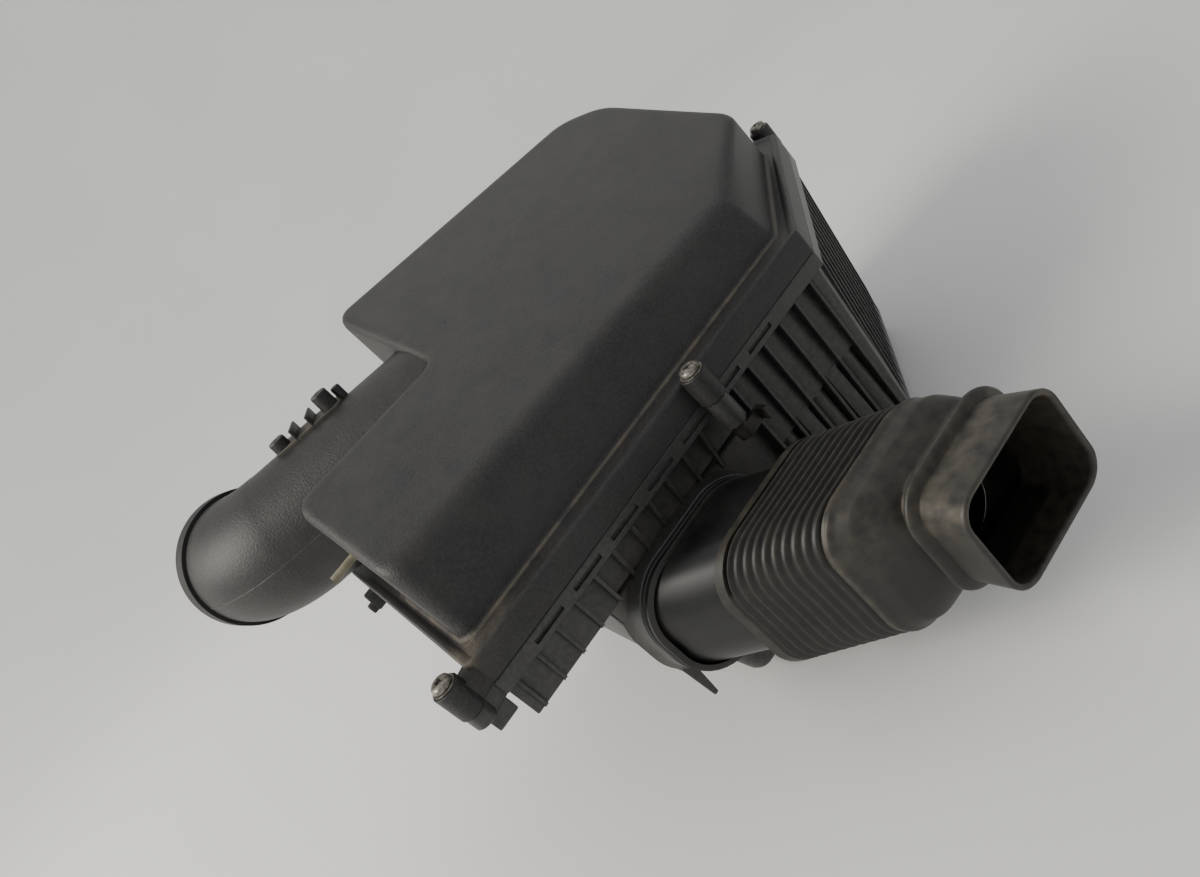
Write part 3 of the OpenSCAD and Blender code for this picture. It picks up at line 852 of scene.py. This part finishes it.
BELLOWS_REAR = [-37, 152, -81.5, 106, 93, 28]
BELLOWS_FRONT = [-96, 177, -74, 92, 90, 24]
NECK = [-118, 196, -72, 70, 62, 16]
MOUTH = [-152, 199, -71, 76, 60, 14]
RUBBER_T = 3
RIBS = 10
LIP = 5
hose_rubber = soft_rubber("dusty_hose_rubber_and_painted_light", "#0b0b0b", "#454035", 0.5, 30)
depth = np.linspace(BELLOWS_REAR[0], BELLOWS_FRONT[0], 320)
turns = (BELLOWS_REAR[0] - LIP - depth) / (BELLOWS_REAR[0] - LIP - BELLOWS_FRONT[0]) * RIBS
in_lip = depth > BELLOWS_REAR[0] - LIP
crest = np.where(in_lip, 1, np.sin(turns * math.pi) ** 6)
hose_skin = intake_rings(stations([BELLOWS_REAR, BELLOWS_FRONT], depth), 2.6 * (crest - 1) + 0.1)
hose_inside = intake_rings(stations([BELLOWS_REAR, BELLOWS_FRONT], depth[::-1]), -4.6)
# The rib crests are painted lighter, the more so towards the top.
bellows = piece(
    "hose_bellows",
    [loft([*hose_skin, *hose_inside], closed=True)],
    hose_rubber,
    lambda x, y, z: 0.5 * np.interp(-y, -depth, crest) * (0.5 + 0.5 * bump_up(z, -30, 20)),
    crease=60,
)
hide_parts("intake_bellows")


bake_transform(bellows)

SHOULDER = [
    BELLOWS_FRONT,
    [-99, 179, -74, 91, 89, 23],
    [-107, 184.5, -73.4, 86, 82, 18],
    [-113, 190.5, -72.6, 78, 72, 17],
    NECK,
    MOUTH,
]
# From the bellows to the bead, over the bead in finer steps, and on to the mouth.
depth = np.concatenate(
    [np.linspace(-96.4, -121.6, 30), np.linspace(-121.9, -128.4, 14), np.linspace(-129, -151.4, 14)]
)
bead = 5.0 * np.clip(1 - np.abs((depth + 125) / 3.2) ** 2.5, 0, 1)
edge_band = 1.0 * bump_up(depth, -99, 1.2)
mouth_skin = intake_rings(stations(SHOULDER, depth), bead + edge_band)
lip_rings = intake_rings(straight_station([-152, -152], MOUTH), [-0.6, -RUBBER_T + 0.6])
mouth_inside = intake_rings(stations(SHOULDER, depth[::-1]), -RUBBER_T)


def hose_dust_and_painted_light(x, y, z):
    """Dust rubbed into the hose's top before its bead and along the shoulder's edge; painted light inside.
    """
    upper = np.clip((z + 70) / 20, 0, 1)
    between_sides = np.abs(x - MOUTH[1]) < MOUTH[3] / 2 - 2
    between_faces = np.abs(z - MOUTH[2]) < MOUTH[4] / 2 - 2
    # Inside the mouth the walls are painted lighter: painted light that falls into the mouth.
    inside = between_sides * between_faces * (y < NECK[0])
    rubbed = 0.35 * bump_up(y, -136, 8) * upper + 0.5 * bump_up(y, -98, 1.6)
    return 0.08 + 0.3 * upper + rubbed + 0.45 * inside


mouth = piece(
    "hose_mouth",
    [loft([*mouth_skin, *lip_rings, *mouth_inside], closed=True)],
    hose_rubber,
    hose_dust_and_painted_light,
    crease=50,
)
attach(mouth, "hose_end")
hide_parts("intake_mouth")

# ---------------------------------------------------------------------------------------------
# Lid screws. Zinc-plated thread-forming steel screws with a pan head and a six-lobed socket, on
# captive washers, turned into the tubes of the body.


def zinc_plate(name, colour, stained, roughness):
    """Zinc-plated steel gone dull: pale grey metal with darker and browner stains."""
    material, tree, shader, place = new_material(name)
    stain = patches(tree, place, 2.2, 0.4, 0.7, detail=5.0)
    tree.links.new(mixed(tree, stain, linear(colour), linear(stained)), shader.inputs["Base Color"])
    duller = add(tree, "ShaderNodeMapRange", {"Value": stain, "To Min": roughness, "To Max": 0.7})
    tree.links.new(duller.outputs["Result"], shader.inputs["Roughness"])
    shader.inputs["Metallic"].default_value = 0.9
    return material


plated_steel = zinc_plate("zinc_plated_steel", "#8f8c86", "#4d4538", 0.4)
HEAD_BASE = 20
THREAD_PITCH = 1.8
SHANK_LOW = -8
turning = np.arange(48) / 48 * 2 * math.pi
height = np.arange(SHANK_LOW + 2.5, 14, THREAD_PITCH / 9)[:, None]
flank = np.abs((height / THREAD_PITCH - turning / (2 * math.pi)) % 1 - 0.5) * 2
thread = 1.95 + 0.5 * np.clip(1 - 2.2 * flank, 0, 1)


def turned(radius, level):
    """Rings of a turned shape: radius (rows, angles) at level (rows, 1), round the screw's axis."""
    return np.stack(np.broadcast_arrays(radius * np.cos(turning), radius * np.sin(turning), level), -1)


lobes = 2.1 + 0.35 * np.cos(6 * turning)
shaft = turned(np.array([[0.6], [1.9]]), np.array([[SHANK_LOW], [SHANK_LOW + 2]]))
plain = turned(
    np.array([[2.3], [2.3], [5.6], [6.0], [5.9], [5.5], [4.6], [3.2]]),
    np.array([[15], [HEAD_BASE], [HEAD_BASE], [20.5], [21.6], [22.6], [23.3], [23.6]]),
)
socket = turned(np.stack([lobes + 0.15, lobes, lobes * 0.95]), np.array([[23.6], [23.3], [21.6]]))
screw_shape = loft([*shaft, *turned(thread, height), *plain, *socket])
for number, spot in enumerate(SCREWS, 1):
    screw = piece(f"pan_head_screw_{number}", [moved(screw_shape, by=[*spot, 0])], plated_steel)
    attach(screw, f"lid_screw_{number}")
    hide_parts(f"screw_{number}")
coat("screw_washers", plated_steel)

# ---------------------------------------------------------------------------------------------
# Studio. A pale floor that turns up smoothly into a wall behind the housing, one large soft light high
# above and a smaller one from the left; the camera is turned about its own axis, as it was held.

low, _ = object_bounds()
BOWL_FLOOR, BOWL_R, BOWL_TOP = 1.5, 2.6, 3.2
sweep = np.linspace(0, math.pi / 2, 16)[1:]
bend = BOWL_R - BOWL_FLOOR
turned_up = np.stack([BOWL_FLOOR + bend * np.sin(sweep), bend * (1 - np.cos(sweep))], -1)
profile = np.concatenate([[[0.02, 0], [0.5, 0], [BOWL_FLOOR, 0]], turned_up, [[BOWL_R, BOWL_TOP]]])
bowl_points, bowl_faces = lathe(profile, [0, 0, low[2]], sides=96)
backdrop_mesh = bpy.data.meshes.new("pale_bowl")
# The whole floor is kept, with the cap at its middle, and only the back half of the wall.
quads = np.array(bowl_faces[:-2]).reshape(len(profile) - 1, -1, 4)
floor = quads[:2].reshape(-1, 4).tolist() + [bowl_faces[-2]]
back_wall = quads[2:, : quads.shape[1] // 2].reshape(-1, 4).tolist()
backdrop_mesh.from_pydata(bowl_points.tolist(), [], floor + back_wall)
backdrop_mesh.shade_smooth()
paper, tree, shader, place = new_material("pale_backdrop_paper")
mottle = patches(tree, place, 400, 0.3, 0.7)
tree.links.new(mixed(tree, mottle, linear("#dddddc"), linear("#e1e1df")), shader.inputs["Base Color"])
shader.inputs["Roughness"].default_value = 0.9
backdrop_mesh.materials.append(paper)
backdrop = bpy.data.objects.new("pale_bowl", backdrop_mesh)
bpy.context.scene.collection.objects.link(backdrop)

TARGET = Vector((0.0203, 0.0909, 0.1249))
AZIMUTH, ELEVATION, ROLL = math.radians(-16.46), math.radians(22.79), math.radians(-46.02)
DISTANCE = 0.6137
away = Vector(
    (math.sin(AZIMUTH) * math.cos(ELEVATION), -math.cos(AZIMUTH) * math.cos(ELEVATION), math.sin(ELEVATION))
)
lens = bpy.data.cameras.new("camera")
lens.lens = 27
lens.sensor_width = 36
lens.clip_start = 0.01
camera = bpy.data.objects.new("camera", lens)
camera.matrix_world = (
    Matrix.Translation(TARGET + away * DISTANCE)
    @ away.to_track_quat("Z", "Y").to_matrix().to_4x4()
    @ Matrix.Rotation(ROLL, 4, "Z")
)
bpy.context.scene.collection.objects.link(camera)
bpy.context.scene.camera = camera


def soft_light(name, place, size, power, colour):
    """Square area light at the place, in metres, facing the housing."""
    lamp = bpy.data.lights.new(name, "AREA")
    lamp.shape = "SQUARE"
    lamp.size = size
    lamp.energy = power
    lamp.color = linear(colour)[:3]
    holder = bpy.data.objects.new(name, lamp)
    holder.location = place
    holder.rotation_euler = (Vector(place) - TARGET).to_track_quat("Z", "Y").to_euler()
    bpy.context.scene.collection.objects.link(holder)


soft_light("window", (0.9, 1.0, 2.2), 2.6, 10, "#ffffff")
soft_light("room", (-1.6, 0.4, 1.4), 1.2, 44, "#fffaf2")
world = bpy.data.worlds.new("even_room")
world.use_nodes = True
world.node_tree.nodes["Background"].inputs["Color"].default_value = linear("#dfe1e2")
world.node_tree.nodes["Background"].inputs["Strength"].default_value = 0.8
bpy.context.scene.world = world
